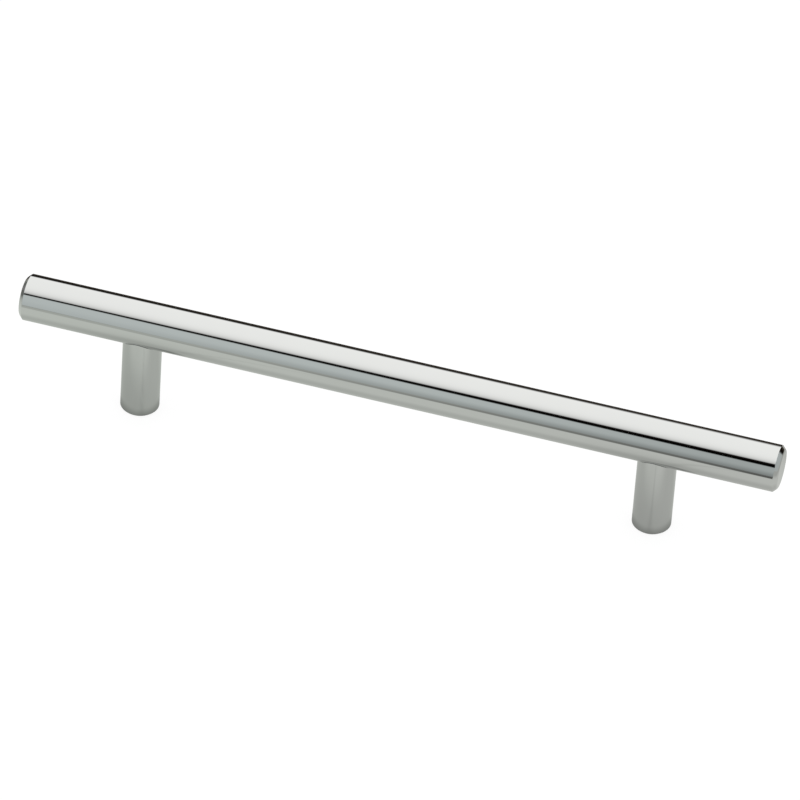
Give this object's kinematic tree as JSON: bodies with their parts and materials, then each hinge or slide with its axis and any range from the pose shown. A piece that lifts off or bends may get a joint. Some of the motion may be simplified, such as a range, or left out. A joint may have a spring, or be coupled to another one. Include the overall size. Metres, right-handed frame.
{
  "type": "t bar cabinet pull",
  "caption": "Straight round T bar cabinet pull in polished chrome, with a solid bar seated in saddles on round posts that are tapped at the foot for mounting screws.",
  "frame": {"origin": "on the mounting plane, midway between the two feet", "axes": "+X along the bar, +Y across it, +Z from the drawer front to the bar"},
  "size_m": [0.188, 0.0114, 0.0315],
  "materials": {
    "polished_chrome": "polished",
    "stud_steel": "plain steel"
  },
  "bodies": {
    "root": {"bar": "polished_chrome", "post_left": "polished_chrome", "post_right": "polished_chrome", "joining_studs": "stud_steel"}
  },
  "joints": []
}
